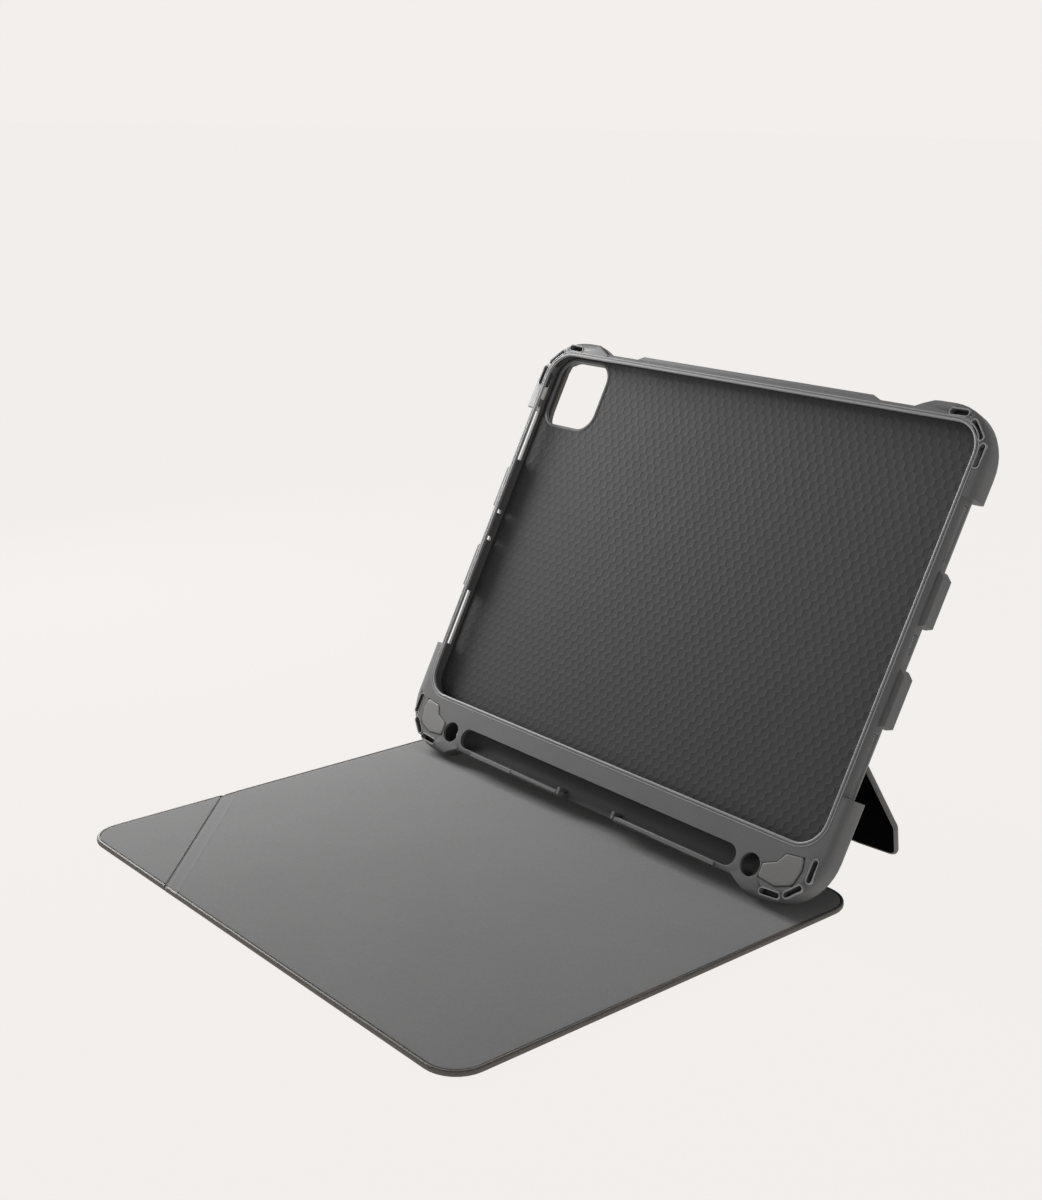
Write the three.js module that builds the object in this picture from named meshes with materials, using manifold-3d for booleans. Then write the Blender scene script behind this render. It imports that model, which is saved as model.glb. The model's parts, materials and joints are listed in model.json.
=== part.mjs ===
// Folding case for an 11-inch tablet, open on its stand.
// Millimetres, +Z up, +Y away from the user, +X to the user's right.
// The cover lies on the table, the tray leans back over it, and a stand panel
// behind the tray is hinged to the cover's spine. The origin is on the table,
// under the lower front edge of the tray, on the case's centre plane.

import * as THREE from 'three';
import { mergeVertices } from 'three/addons/utils/BufferGeometryUtils.js';
import Module from 'manifold-3d';

const wasm = await Module();
wasm.setup();
const { Manifold, Mesh: ManifoldMesh } = wasm;

// Clearances
const TOUCH = 0.3; // between pieces that rest on each other across a turned group
const LAYER_GAP = 0.1; // between the glued layers of one flat panel
const THROUGH = 1; // how far a cutter runs past the face that it cuts
const BEHIND_TRAY = -20; // a depth behind every surface of the tray
const BESIDE_TRAY = 140; // a distance from the centre plane beyond the bumpers

// Tablet that the case holds
const TABLET_WIDTH = 247.6;
const TABLET_HEIGHT = 178.5;
const TABLET_THICKNESS = 5.9;
const TABLET_CLEARANCE = 0.3;

// Tray, in its own frame: u to the right, v up the tray, w out of its front face
const TRAY_SLOPE = THREE.MathUtils.degToRad(63);
const TRAY_LIFT = 1.7; // height of the line v = 0, w = 0 above the table
const LIP_OVERHANG = 1.5; // how far the front lip laps over the tablet's edge
const LIP_THICKNESS = 0.9;
const FLOOR_THICKNESS = 1.3;
const POCKET_DEPTH = TABLET_THICKNESS + 0.1;
const TRAY_DEPTH = LIP_THICKNESS + POCKET_DEPTH + FLOOR_THICKNESS;
const OPENING_BOTTOM = 31.6;
const OPENING_WIDTH = TABLET_WIDTH - 2 * LIP_OVERHANG;
const OPENING_HEIGHT = TABLET_HEIGHT - 2 * LIP_OVERHANG;
const OPENING_RADIUS = 12;
const TABLET_BOTTOM = OPENING_BOTTOM - LIP_OVERHANG;
const WALL = 1.8;
const TRAY_RADIUS = 17;
const EDGE_ROUND = 2.2; // rounding of the tray's outer edges
const BODY_HALF_WIDTH = TABLET_WIDTH / 2 + TABLET_CLEARANCE + WALL;
const BODY_TOP = TABLET_BOTTOM + TABLET_HEIGHT + TABLET_CLEARANCE + WALL;

// Corner bumpers
const BUMPER_HALF_WIDTH = 129.6;
const BUMPER_TOP = 214.6;
const BUMPER_BOTTOM = 5.4;
const BUMPER_DEPTH = 11;
const BUMPER_RADIUS = 25;
const BUMPER_ROUND = EDGE_ROUND + 0.6;
const BUMPER_TAPER = 12; // a bumper runs out into the long edge over this length
const BUMPER_SIDE_REACH = 36; // along the tray's upper short edges
const BUMPER_FOOT_TOP = 55; // top of the lower bumpers' side pads
const BUMPER_LONG_REACH = 30; // along the tray's long edges
const CHIN_BOTTOM = 9.3; // lower edge of the tray between its lower bumpers

// Pen channel and strap holes in the chin
const PEN_SLOT_HALF_LENGTH = 87.6;
const PEN_SLOT_BOTTOM = 11.9;
const PEN_SLOT_TOP = 21.3;
const PEN_SLOT_DEPTH = 6.6;
const PEN_NOTCH_LEFT = -15;
const PEN_NOTCH_RIGHT = 18;
const STRAP_HOLE_RADIUS = 4.85;
const STRAP_HOLE_U = 95.6;
const STRAP_HOLE_V = 16.5;

// Back panel and stand panel
const PANEL_THICKNESS = 2.2;
const PANEL_RADIUS = 6;
const BOARD_RADIUS = 5;
const PANEL_HALF_WIDTH = 121.5;
const STAND_AXIS_V = 71;
const STAND_AXIS_W = -(TRAY_DEPTH + TOUCH + PANEL_THICKNESS / 2);
const STAND_CREASE_HALF = 4;
const BACK_PANEL_TOP = 205;
const STAND_LENGTH = 74.6; // from the stand's fold to the fold at its foot
const STAND_SEAT_GAP = 0.8; // round the stand panel where it folds in between the bumpers
const FOOT_SETBACK = 2.2; // the stiff panel stops this short of its foot's fold

// Cover, spine and their folds, flat on the table
const COVER_HALF_WIDTH = 126;
const COVER_FRONT = -170;
const COVER_BACK = 40;
const COVER_RADIUS = 14;
const HEM = 3.2; // width of the outer skin's turned edge round the lining
const SKIN = 0.6;
const BOARD = 1.1;
const LINING = 0.5;
const COVER_THICKNESS = SKIN + BOARD + LINING + 2 * LAYER_GAP;
const FOLD_WEB = 0.9; // thickness where only skin and lining are bonded
const CORNER_LEG = 68;
const CORNER_FOLD_WIDTH = 6.5;
const SPINE_HALF_WIDTH = 80;
const SPINE_FOLD_Y = 48;
const SPINE_FOLD_HALF = 8;
const FOOT_FOLD_HALF = 6;
const FOOT_AXIS_Z = 1.2;

// Magnets
const MAGNET_LENGTH = 20;
const MAGNET_WIDTH = 5;
const MAGNET_THICKNESS = 0.9;
const FOOT_MAGNET = { u: 108.4, v: 11.7, w: -6.6, length: 13 };
const KEEPER_WIDTH = 12;
const KEEPER_LENGTH = 70;

const ARC_STEPS = 6;
const HOLE_STEPS = 20;

// Materials
const finish = (color, roughness, metalness = 0) =>
  new THREE.MeshStandardMaterial({ color, roughness, metalness });
const tpuGrey = finish(0x5a5a58, 0.55);
const padGrey = finish(0x636361, 0.6);
const skinGrey = finish(0x3a3836, 0.6);
const liningGrey = finish(0x7a7a7a, 0.95);
const innerBlack = finish(0x0c0c0d, 0.9);
const boardGrey = finish(0x8c8478, 0.9);
const magnetSteel = finish(0xb8b8ba, 0.35, 0.9);

const caseGroup = new THREE.Group();

// ---- Shape helpers -------------------------------------------------------

// Rounded rectangle between two corners, with one radius
function roundedRectangle(x0, y0, x1, y1, radius) {
  const shape = new THREE.Shape();
  shape.moveTo(x0 + radius, y0);
  shape.lineTo(x1 - radius, y0);
  shape.absarc(x1 - radius, y0 + radius, radius, -Math.PI / 2, 0, false);
  shape.lineTo(x1, y1 - radius);
  shape.absarc(x1 - radius, y1 - radius, radius, 0, Math.PI / 2, false);
  shape.lineTo(x0 + radius, y1);
  shape.absarc(x0 + radius, y1 - radius, radius, Math.PI / 2, Math.PI, false);
  shape.lineTo(x0, y0 + radius);
  shape.absarc(x0 + radius, y0 + radius, radius, Math.PI, Math.PI * 1.5, false);
  return shape;
}

function polygon(points) {
  return new THREE.Shape(points.map(([x, y]) => new THREE.Vector2(x, y)));
}

// Plate cut to an outline, from height z0 to z1
function plate(shape, z0, z1) {
  const geometry = new THREE.ExtrudeGeometry(shape, {
    depth: z1 - z0,
    bevelEnabled: false,
    curveSegments: ARC_STEPS,
  });
  geometry.translate(0, 0, z0);
  return solid(geometry);
}

// Plate whose upper and lower edges are rounded, inside its own outline
function softPlate(shape, z0, z1, round) {
  const geometry = new THREE.ExtrudeGeometry(shape, {
    depth: z1 - z0 - 2 * round,
    bevelEnabled: true,
    bevelThickness: round,
    bevelSize: round,
    bevelOffset: -round,
    bevelSegments: 2,
    curveSegments: ARC_STEPS,
  });
  geometry.translate(0, 0, z0 + round);
  return solid(geometry);
}

function box(x0, y0, z0, x1, y1, z1) {
  const geometry = new THREE.BoxGeometry(x1 - x0, y1 - y0, z1 - z0);
  geometry.translate((x0 + x1) / 2, (y0 + y1) / 2, (z0 + z1) / 2);
  return solid(geometry);
}

// Round bar along z
function bar(x, y, z0, z1, radius) {
  const geometry = new THREE.CylinderGeometry(radius, radius, z1 - z0, HOLE_STEPS);
  geometry.rotateX(Math.PI / 2);
  geometry.translate(x, y, (z0 + z1) / 2);
  return solid(geometry);
}

// Slot with round ends between two points, cut from z0 to z1
function slot(ax, ay, bx, by, width, z0, z1) {
  const length = Math.hypot(bx - ax, by - ay) + width;
  const shape = roundedRectangle(-length / 2, -width / 2, length / 2, width / 2, width / 2 - 0.01);
  const geometry = new THREE.ExtrudeGeometry(shape, {
    depth: z1 - z0,
    bevelEnabled: false,
    curveSegments: 3,
  });
  geometry.rotateZ(Math.atan2(by - ay, bx - ax));
  geometry.translate((ax + bx) / 2, (ay + by) / 2, z0);
  return solid(geometry);
}

// Closed geometry as a solid for joining and cutting
function solid(geometry) {
  const bare = geometry.index ? geometry.toNonIndexed() : geometry.clone();
  bare.deleteAttribute('normal');
  bare.deleteAttribute('uv');
  const merged = mergeVertices(bare, 1e-4);
  return new Manifold(new ManifoldMesh({
    numProp: 3,
    vertProperties: new Float32Array(merged.attributes.position.array),
    triVerts: new Uint32Array(merged.index.array),
  }));
}

// Solid back to a geometry with its own normals
function toGeometry(body) {
  const mesh = body.getMesh();
  const geometry = new THREE.BufferGeometry();
  geometry.setAttribute('position', new THREE.BufferAttribute(new Float32Array(mesh.vertProperties), 3));
  geometry.setIndex(new THREE.BufferAttribute(new Uint32Array(mesh.triVerts), 1));
  geometry.computeVertexNormals();
  return geometry;
}

function addPiece(group, name, body, material) {
  const mesh = new THREE.Mesh(toGeometry(body), material);
  mesh.name = name;
  group.add(mesh);
}

function joinAll(bodies) {
  return bodies.reduce((whole, body) => whole.add(body));
}

function cutAll(whole, cutters) {
  return cutters.reduce((rest, cutter) => rest.subtract(cutter), whole);
}

// ---- Stand panel's outline, with y down the panel from its fold -----------------

// Place of the stand's fold in the case's frame, and how steeply the panel falls from it
const STAND_TOP_Y = STAND_AXIS_V * Math.cos(TRAY_SLOPE) - STAND_AXIS_W * Math.sin(TRAY_SLOPE);
const STAND_TOP_Z = TRAY_LIFT + STAND_AXIS_V * Math.sin(TRAY_SLOPE) + STAND_AXIS_W * Math.cos(TRAY_SLOPE);
const STAND_SLOPE = Math.asin((STAND_TOP_Z - FOOT_AXIS_Z) / STAND_LENGTH);
const FOOT_AXIS_Y = STAND_TOP_Y + STAND_LENGTH * Math.cos(STAND_SLOPE);

// Outline of the stand panel, whose lower corners are cut back to clear the bumpers
function standOutline(inset) {
  const top = STAND_CREASE_HALF + inset;
  const bottom = STAND_LENGTH - FOOT_SETBACK - inset;
  const half = PANEL_HALF_WIDTH - inset;
  const shape = new THREE.Shape();
  shape.moveTo(-half, top);
  shape.lineTo(half, top);
  shape.lineTo(half - 0.5, 40);
  shape.quadraticCurveTo(half - 1, 50, half - 5.5, 61);
  shape.quadraticCurveTo(half - 9, 69, half - 18, bottom - 1.8);
  shape.lineTo(half - 27, bottom);
  shape.lineTo(-half + 27, bottom);
  shape.lineTo(-half + 18, bottom - 1.8);
  shape.quadraticCurveTo(-half + 9, 69, -half + 5.5, 61);
  shape.quadraticCurveTo(-half + 1, 50, -half + 0.5, 40);
  return shape;
}

// ---- Tray ------------------------------------------------------------------

// The tray's plain body: between its bumpers it follows the tablet
function trayBody() {
  const outline = roundedRectangle(
    -BODY_HALF_WIDTH, CHIN_BOTTOM, BODY_HALF_WIDTH, BODY_TOP, TRAY_RADIUS);
  return softPlate(outline, -TRAY_DEPTH, 0, EDGE_ROUND);
}

// Corner bumper: the part of a larger, deeper rounded block that lies in one corner
function bumper(side, low, high) {
  const block = softPlate(
    roundedRectangle(-BUMPER_HALF_WIDTH, BUMPER_BOTTOM, BUMPER_HALF_WIDTH, BUMPER_TOP, BUMPER_RADIUS),
    -BUMPER_DEPTH, 0, BUMPER_ROUND);
  const inner = BUMPER_HALF_WIDTH - BUMPER_LONG_REACH;
  const atTop = low > TABLET_HEIGHT / 2;
  const outerV = atTop ? BUMPER_TOP + THROUGH : BUMPER_BOTTOM - THROUGH;
  const innerV = atTop ? BODY_TOP - 1 : CHIN_BOTTOM + 1;
  const sideV = atTop ? low : high;
  const points = [
    [inner - BUMPER_TAPER, innerV], [inner, outerV], [BESIDE_TRAY, outerV],
    [BESIDE_TRAY, sideV], [inner - BUMPER_TAPER, sideV],
  ];
  const corner = plate(polygon(points.map(([u, v]) => [side * u, v])), BEHIND_TRAY, THROUGH);
  return block.intersect(corner);
}

// Grip pads on the side walls, between the bumpers: [low v, high v]
const SIDE_PADS = [[85, 109], [126.5, 149.5]];
const SIDE_PAD = { rise: 2.8, slope: 2.5, front: -2.6, behind: 0.9, overlap: 3 };

function sidePad(side, low, high) {
  const outer = BODY_HALF_WIDTH + SIDE_PAD.rise;
  const inside = BODY_HALF_WIDTH - SIDE_PAD.overlap;
  const points = [
    [inside, low], [BODY_HALF_WIDTH, low], [outer, low + 1], [outer, high - SIDE_PAD.slope],
    [BODY_HALF_WIDTH, high], [inside, high],
  ];
  return plate(
    polygon(points.map(([u, v]) => [side * u, v])), -TRAY_DEPTH - SIDE_PAD.behind, SIDE_PAD.front);
}

// Grip pad along the middle of the top edge, with long sloping ends
const TOP_PAD = { halfLength: 66, slope: 10, rise: 1.6, front: -1.8, behind: 0.3, overlap: 3 };

function topPad() {
  const { halfLength, slope, rise, overlap } = TOP_PAD;
  const points = [
    [-halfLength - slope, BODY_TOP - overlap], [halfLength + slope, BODY_TOP - overlap],
    [halfLength, BODY_TOP + rise], [-halfLength, BODY_TOP + rise],
  ];
  return plate(polygon(points), -TRAY_DEPTH - TOP_PAD.behind, TOP_PAD.front);
}

// Pocket for the tablet and its front opening
function tabletCutters() {
  const halfPocket = TABLET_WIDTH / 2 + TABLET_CLEARANCE;
  const pocket = plate(
    roundedRectangle(
      -halfPocket, TABLET_BOTTOM - TABLET_CLEARANCE,
      halfPocket, TABLET_BOTTOM + TABLET_HEIGHT + TABLET_CLEARANCE, OPENING_RADIUS + LIP_OVERHANG),
    -LIP_THICKNESS - POCKET_DEPTH, -LIP_THICKNESS);
  const opening = plate(
    roundedRectangle(
      -OPENING_WIDTH / 2, OPENING_BOTTOM,
      OPENING_WIDTH / 2, OPENING_BOTTOM + OPENING_HEIGHT, OPENING_RADIUS),
    -LIP_THICKNESS - THROUGH, THROUGH);
  return [pocket, opening];
}

const CAMERA = { left: -121, right: -88.5, bottom: 173.8, top: 206.5, radius: 8.5 };

function cameraWindow() {
  return plate(
    roundedRectangle(CAMERA.left, CAMERA.bottom, CAMERA.right, CAMERA.top, CAMERA.radius),
    BEHIND_TRAY, -LIP_THICKNESS - POCKET_DEPTH / 2);
}

// Openings in the side and top walls: [low v, high v] on the left and right, u on the top
const LEFT_SLOTS = [[56, 84], [110.5, 112.5], [124.5, 126.5], [152.5, 181], [184, 196.5]];
const RIGHT_SLOTS = [[56, 82], [115, 123], [153, 176]];
const TOP_SLOT = [-96, -70];
const SLOT_HALF_HEIGHT = 1.3;

function wallSlots() {
  const middle = -LIP_THICKNESS - POCKET_DEPTH / 2;
  const back = middle - SLOT_HALF_HEIGHT;
  const front = middle + SLOT_HALF_HEIGHT;
  const inside = TABLET_WIDTH / 2 - 2;
  const outside = BUMPER_HALF_WIDTH + THROUGH;
  const left = LEFT_SLOTS.map(([low, high]) =>
    box(-outside, low, back, -inside, high, front));
  const right = RIGHT_SLOTS.map(([low, high]) =>
    box(inside, low, back, outside, high, front));
  const tabletTop = TABLET_BOTTOM + TABLET_HEIGHT;
  const top = box(TOP_SLOT[0], tabletTop - 2, back, TOP_SLOT[1], BUMPER_TOP + THROUGH, front);
  return [...left, ...right, top];
}

// Trough for the pen, the gap in its lower lip, and the two strap holes
function chinCutters() {
  const middle = (PEN_SLOT_BOTTOM + PEN_SLOT_TOP) / 2;
  const width = PEN_SLOT_TOP - PEN_SLOT_BOTTOM;
  const end = PEN_SLOT_HALF_LENGTH - width / 2;
  const trough = slot(-end, middle, end, middle, width, -PEN_SLOT_DEPTH, THROUGH);
  const notch = box(
    PEN_NOTCH_LEFT, CHIN_BOTTOM - THROUGH, -PEN_SLOT_DEPTH, PEN_NOTCH_RIGHT, middle, THROUGH);
  const holes = [-STRAP_HOLE_U, STRAP_HOLE_U].map((u) =>
    bar(u, STRAP_HOLE_V, BEHIND_TRAY, THROUGH, STRAP_HOLE_RADIUS));
  return [trough, notch, ...holes];
}

// Air-cushion slots in the bumpers' front faces, for the right side, mirrored to the left
const CUSHION_SLOTS = [
  [124.2, 27.2, 124.2, 20],
  [121.5, 15.6, 116.8, 11.2],
  [112.9, 9.4, 105.5, 8.8],
  [106.4, 210.4, 112.6, 210.6],
  [117.6, 207.4, 122.6, 202.2],
  [125.1, 198.6, 125.1, 191.4],
];
const CUSHION_WIDTH = 2.3;
const CUSHION_DEPTH = 4.5;

function cushionCutters() {
  return [-1, 1].flatMap((side) => CUSHION_SLOTS.map(([au, av, bu, bv]) =>
    slot(side * au, av, side * bu, bv, CUSHION_WIDTH, -CUSHION_DEPTH, THROUGH)));
}

// Soft pad let into the chin beside each strap hole
const PAD_OUTLINE = [[101.2, 13.2], [110.4, 12.4], [118, 15.4], [119.8, 22.4], [118.8, 27.4],
  [110.2, 26.2], [107.6, 21.8], [101.2, 19.4]];
const PAD_DEPTH = 1.6;

function chinPad(side, grow, front) {
  const centre = [110.5, 19.5];
  const points = PAD_OUTLINE.map(([u, v]) => {
    const reach = Math.hypot(u - centre[0], v - centre[1]);
    const scale = 1 + grow / reach;
    return [side * (centre[0] + (u - centre[0]) * scale), centre[1] + (v - centre[1]) * scale];
  });
  return plate(polygon(points), -PAD_DEPTH - grow, front);
}

// Magnet in a lower bumper, which grows into its seat when clearance is given
function footMagnet(side, grow = 0) {
  const { u, v, w, length } = FOOT_MAGNET;
  return box(
    side * u - length / 2 - grow, v - MAGNET_WIDTH / 2 - grow, w - MAGNET_THICKNESS / 2 - grow,
    side * u + length / 2 + grow, v + MAGNET_WIDTH / 2 + grow, w + MAGNET_THICKNESS / 2 + grow);
}

// The seat, with the small moulding hole behind it
function footMagnetSeat(side) {
  const { u, v, w } = FOOT_MAGNET;
  const hole = box(side * u - 2, v - 1, -BUMPER_DEPTH - THROUGH, side * u + 2, v + 1, w);
  return footMagnet(side, TOUCH).add(hole);
}

function buildTray() {
  const tray = new THREE.Group();
  tray.position.z = TRAY_LIFT;
  tray.rotation.x = TRAY_SLOPE;

  const rows = [
    [BUMPER_BOTTOM - THROUGH, BUMPER_FOOT_TOP],
    [BUMPER_TOP - BUMPER_SIDE_REACH, BUMPER_TOP + THROUGH],
  ];
  const bumpers = [-1, 1].flatMap((side) => rows.map(([low, high]) => bumper(side, low, high)));
  const pads = [-1, 1].flatMap((side) => SIDE_PADS.map(([low, high]) => sidePad(side, low, high)));
  const footSeats = [-1, 1].map((side) => footMagnetSeat(side));
  const chinSeats = [-1, 1].map((side) => chinPad(side, TOUCH, THROUGH));
  const backSeat = plate(backPanelOutline(TOUCH), BEHIND_TRAY, -TRAY_DEPTH);
  const standSeat = plate(standOutline(-STAND_SEAT_GAP), -THROUGH, BUMPER_DEPTH)
    .rotate([180, 0, 0]).translate([0, STAND_AXIS_V, -TRAY_DEPTH - THROUGH]);
  const cutters = [
    ...tabletCutters(), cameraWindow(), ...wallSlots(), ...chinCutters(), ...cushionCutters(),
    ...footSeats, ...chinSeats, backSeat, standSeat,
  ];
  const shell = cutAll(joinAll([trayBody(), ...bumpers, ...pads, topPad()]), cutters);
  addPiece(tray, 'tray_shell', shell, tpuGrey);

  for (const [side, word] of [[-1, 'left'], [1, 'right']]) {
    addPiece(tray, `chin_pad_${word}`, chinPad(side, 0, -0.05), padGrey);
    addPiece(tray, `foot_magnet_${word}`, footMagnet(side), magnetSteel);
  }
  addBackPanel(tray);
  return tray;
}

// ---- Back panel, fixed to the tray above the stand's fold --------------------

function backPanelOutline(grow) {
  const low = STAND_AXIS_V - STAND_CREASE_HALF;
  return roundedRectangle(
    -PANEL_HALF_WIDTH - grow, low - grow, PANEL_HALF_WIDTH + grow, BACK_PANEL_TOP + grow,
    PANEL_RADIUS + grow);
}

function addBackPanel(tray) {
  const outer = -TRAY_DEPTH - TOUCH - PANEL_THICKNESS;
  const inner = -TRAY_DEPTH - TOUCH;
  const low = STAND_AXIS_V + STAND_CREASE_HALF;
  const outline = roundedRectangle(
    -PANEL_HALF_WIDTH, low, PANEL_HALF_WIDTH, BACK_PANEL_TOP, PANEL_RADIUS);
  const boardOutline = roundedRectangle(
    -PANEL_HALF_WIDTH + HEM, low + HEM, PANEL_HALF_WIDTH - HEM, BACK_PANEL_TOP - HEM, BOARD_RADIUS);
  const margin = 3;
  const window = (grow) => plate(
    roundedRectangle(
      CAMERA.left + margin / 2 - grow, CAMERA.bottom - margin - grow,
      CAMERA.right + margin + grow, CAMERA.top + margin, CAMERA.radius),
    outer - THROUGH, inner + THROUGH);
  const boardSeat = plate(boardOutline, outer + SKIN, inner + THROUGH);
  const skin = plate(outline, outer, inner).subtract(boardSeat).subtract(window(0));
  const board = plate(
    roundedRectangle(
      -PANEL_HALF_WIDTH + HEM + LAYER_GAP, low + HEM + LAYER_GAP,
      PANEL_HALF_WIDTH - HEM - LAYER_GAP, BACK_PANEL_TOP - HEM - LAYER_GAP, BOARD_RADIUS),
    outer + SKIN + LAYER_GAP, inner).subtract(window(HEM));
  addPiece(tray, 'back_skin', skin, skinGrey);
  addPiece(tray, 'back_board', board, boardGrey);

  const reach = STAND_CREASE_HALF - TOUCH;
  const crease = box(
    -PANEL_HALF_WIDTH + 1, STAND_AXIS_V - reach, STAND_AXIS_W - FOLD_WEB / 2,
    PANEL_HALF_WIDTH - 1, STAND_AXIS_V + reach, STAND_AXIS_W + FOLD_WEB / 2);
  addPiece(tray, 'stand_crease', crease, innerBlack);
}

// ---- Stand panel, in its own frame: y runs down the panel from its fold --------

function buildStand() {
  const stand = new THREE.Group();
  stand.position.set(0, STAND_TOP_Y, STAND_TOP_Z);
  stand.rotation.x = -STAND_SLOPE;
  const half = PANEL_THICKNESS / 2;
  const boardSeat = plate(standOutline(HEM), -half + LINING + LAYER_GAP, half - SKIN);
  const liningSeat = plate(standOutline(HEM / 2), -half - THROUGH, -half + LINING + 2 * LAYER_GAP);
  const skin = plate(standOutline(0), -half, half).subtract(boardSeat).subtract(liningSeat);
  addPiece(stand, 'stand_skin', skin, skinGrey);
  const board = plate(
    standOutline(HEM + LAYER_GAP), -half + LINING + 2 * LAYER_GAP, half - SKIN - LAYER_GAP);
  addPiece(stand, 'stand_board', board, boardGrey);
  const lining = plate(standOutline(HEM / 2 + LAYER_GAP), -half, -half + LINING);
  addPiece(stand, 'stand_lining', lining, innerBlack);
  return stand;
}

// ---- Cover, corner flap and spine, flat on the table ---------------------------

// Where the corner fold meets the cover's left and front edges, a given leg from the corner
function cornerCut(leg) {
  return [[-COVER_HALF_WIDTH, COVER_FRONT + leg], [-COVER_HALF_WIDTH + leg, COVER_FRONT]];
}

// Large triangle over the front-left corner, out to a given leg length
function cornerTriangle(leg, z0, z1) {
  const [back, front] = cornerCut(leg);
  const far = 30;
  return plate(
    polygon([
      [back[0] - far, back[1] + far],
      [back[0] - far, COVER_FRONT - far],
      [front[0] + far, COVER_FRONT - far],
    ]), z0, z1);
}

const coverOutline = (inset) => roundedRectangle(
  -COVER_HALF_WIDTH + inset, COVER_FRONT + inset, COVER_HALF_WIDTH - inset, COVER_BACK - inset,
  COVER_RADIUS - inset);
const FOLD_LEG = CORNER_FOLD_WIDTH * Math.SQRT2;
const boardLow = SKIN + LAYER_GAP;
const boardHigh = boardLow + BOARD;
const liningLow = boardHigh + LAYER_GAP;

// Skin, board and lining of a panel, given the solids that trim it
function addLayers(group, prefix, outline, trim, holes = []) {
  const skinPlate = trim(plate(outline(0), 0, COVER_THICKNESS), 0);
  const seat = trim(plate(outline(HEM), SKIN, COVER_THICKNESS + THROUGH), HEM);
  addPiece(group, `${prefix}_skin`, skinPlate.subtract(seat), skinGrey);
  const board = trim(plate(outline(HEM + LAYER_GAP), boardLow, boardHigh), HEM + LAYER_GAP);
  addPiece(group, `${prefix}_board`, cutAll(board, holes), boardGrey);
  const lining = trim(plate(outline(HEM + LAYER_GAP), liningLow, COVER_THICKNESS), HEM + LAYER_GAP);
  addPiece(group, `${prefix}_lining`, lining, liningGrey);
}

// Flat magnets and steel keepers let into the cover's board
const COVER_MAGNETS = [
  { name: 'cover_magnet_left', x: -34, y: COVER_FRONT + 9, length: MAGNET_LENGTH, width: MAGNET_WIDTH },
  { name: 'cover_magnet_right', x: 94, y: COVER_FRONT + 9, length: MAGNET_LENGTH, width: MAGNET_WIDTH },
  { name: 'keeper_plate_left', x: -110, y: -8, length: KEEPER_WIDTH, width: KEEPER_LENGTH },
  { name: 'keeper_plate_right', x: 110, y: -8, length: KEEPER_WIDTH, width: KEEPER_LENGTH },
];

function insertBlock({ x, y, length, width }, grow) {
  return box(
    x - length / 2 - grow, y - width / 2 - grow, boardLow + LAYER_GAP / 2 - grow,
    x + length / 2 + grow, y + width / 2 + grow, boardHigh - LAYER_GAP / 2 + grow);
}

function buildCover() {
  const cover = new THREE.Group();
  const holes = COVER_MAGNETS.map((insert) => insertBlock(insert, LAYER_GAP));
  const mainTrim = (body, inset) => body.subtract(
    cornerTriangle(CORNER_LEG + FOLD_LEG + inset * Math.SQRT2, -THROUGH, COVER_THICKNESS + 2 * THROUGH));
  addLayers(cover, 'cover', coverOutline, mainTrim, holes);
  for (const insert of COVER_MAGNETS) {
    addPiece(cover, insert.name, insertBlock(insert, 0), magnetSteel);
  }

  const cornerTrim = (body, inset) => body.intersect(
    cornerTriangle(CORNER_LEG - inset * Math.SQRT2, -THROUGH, COVER_THICKNESS + 2 * THROUGH));
  addLayers(cover, 'corner', coverOutline, cornerTrim);

  const foldOuter = cornerTriangle(CORNER_LEG + FOLD_LEG - TOUCH * Math.SQRT2, 0, FOLD_WEB);
  const foldInner = cornerTriangle(CORNER_LEG + TOUCH * Math.SQRT2, -THROUGH, COVER_THICKNESS);
  const cornerFold = plate(coverOutline(1), 0, FOLD_WEB).intersect(foldOuter).subtract(foldInner);
  addPiece(cover, 'corner_crease', cornerFold, liningGrey);

  const spineFold = box(
    -SPINE_HALF_WIDTH + 1, COVER_BACK + TOUCH, 0,
    SPINE_HALF_WIDTH - 1, SPINE_FOLD_Y + SPINE_FOLD_HALF - TOUCH, FOLD_WEB);
  addPiece(cover, 'spine_crease', spineFold, innerBlack);
  return cover;
}

function buildSpine() {
  const spine = new THREE.Group();
  const near = SPINE_FOLD_Y + SPINE_FOLD_HALF;
  const far = FOOT_AXIS_Y - FOOT_FOLD_HALF;
  const outline = (inset) => roundedRectangle(
    -SPINE_HALF_WIDTH + inset, near + inset, SPINE_HALF_WIDTH - inset, far - inset, 2.5);
  addLayers(spine, 'spine', outline, (body) => body);
  const footFold = box(
    -SPINE_HALF_WIDTH + 1, far + TOUCH, 0, SPINE_HALF_WIDTH - 1, FOOT_AXIS_Y - 0.2, FOLD_WEB);
  addPiece(spine, 'foot_crease', footFold, innerBlack);
  return spine;
}

caseGroup.add(buildCover());
caseGroup.add(buildSpine());
caseGroup.add(buildStand());
caseGroup.add(buildTray());

export default caseGroup;
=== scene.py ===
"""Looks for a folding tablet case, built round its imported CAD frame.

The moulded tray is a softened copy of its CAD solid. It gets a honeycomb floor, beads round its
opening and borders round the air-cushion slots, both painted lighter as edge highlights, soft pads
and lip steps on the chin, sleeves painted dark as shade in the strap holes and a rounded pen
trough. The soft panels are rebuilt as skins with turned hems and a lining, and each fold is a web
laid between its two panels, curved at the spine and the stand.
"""

import json
import math

import bmesh
import bpy
from mathutils import Matrix, Vector


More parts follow.
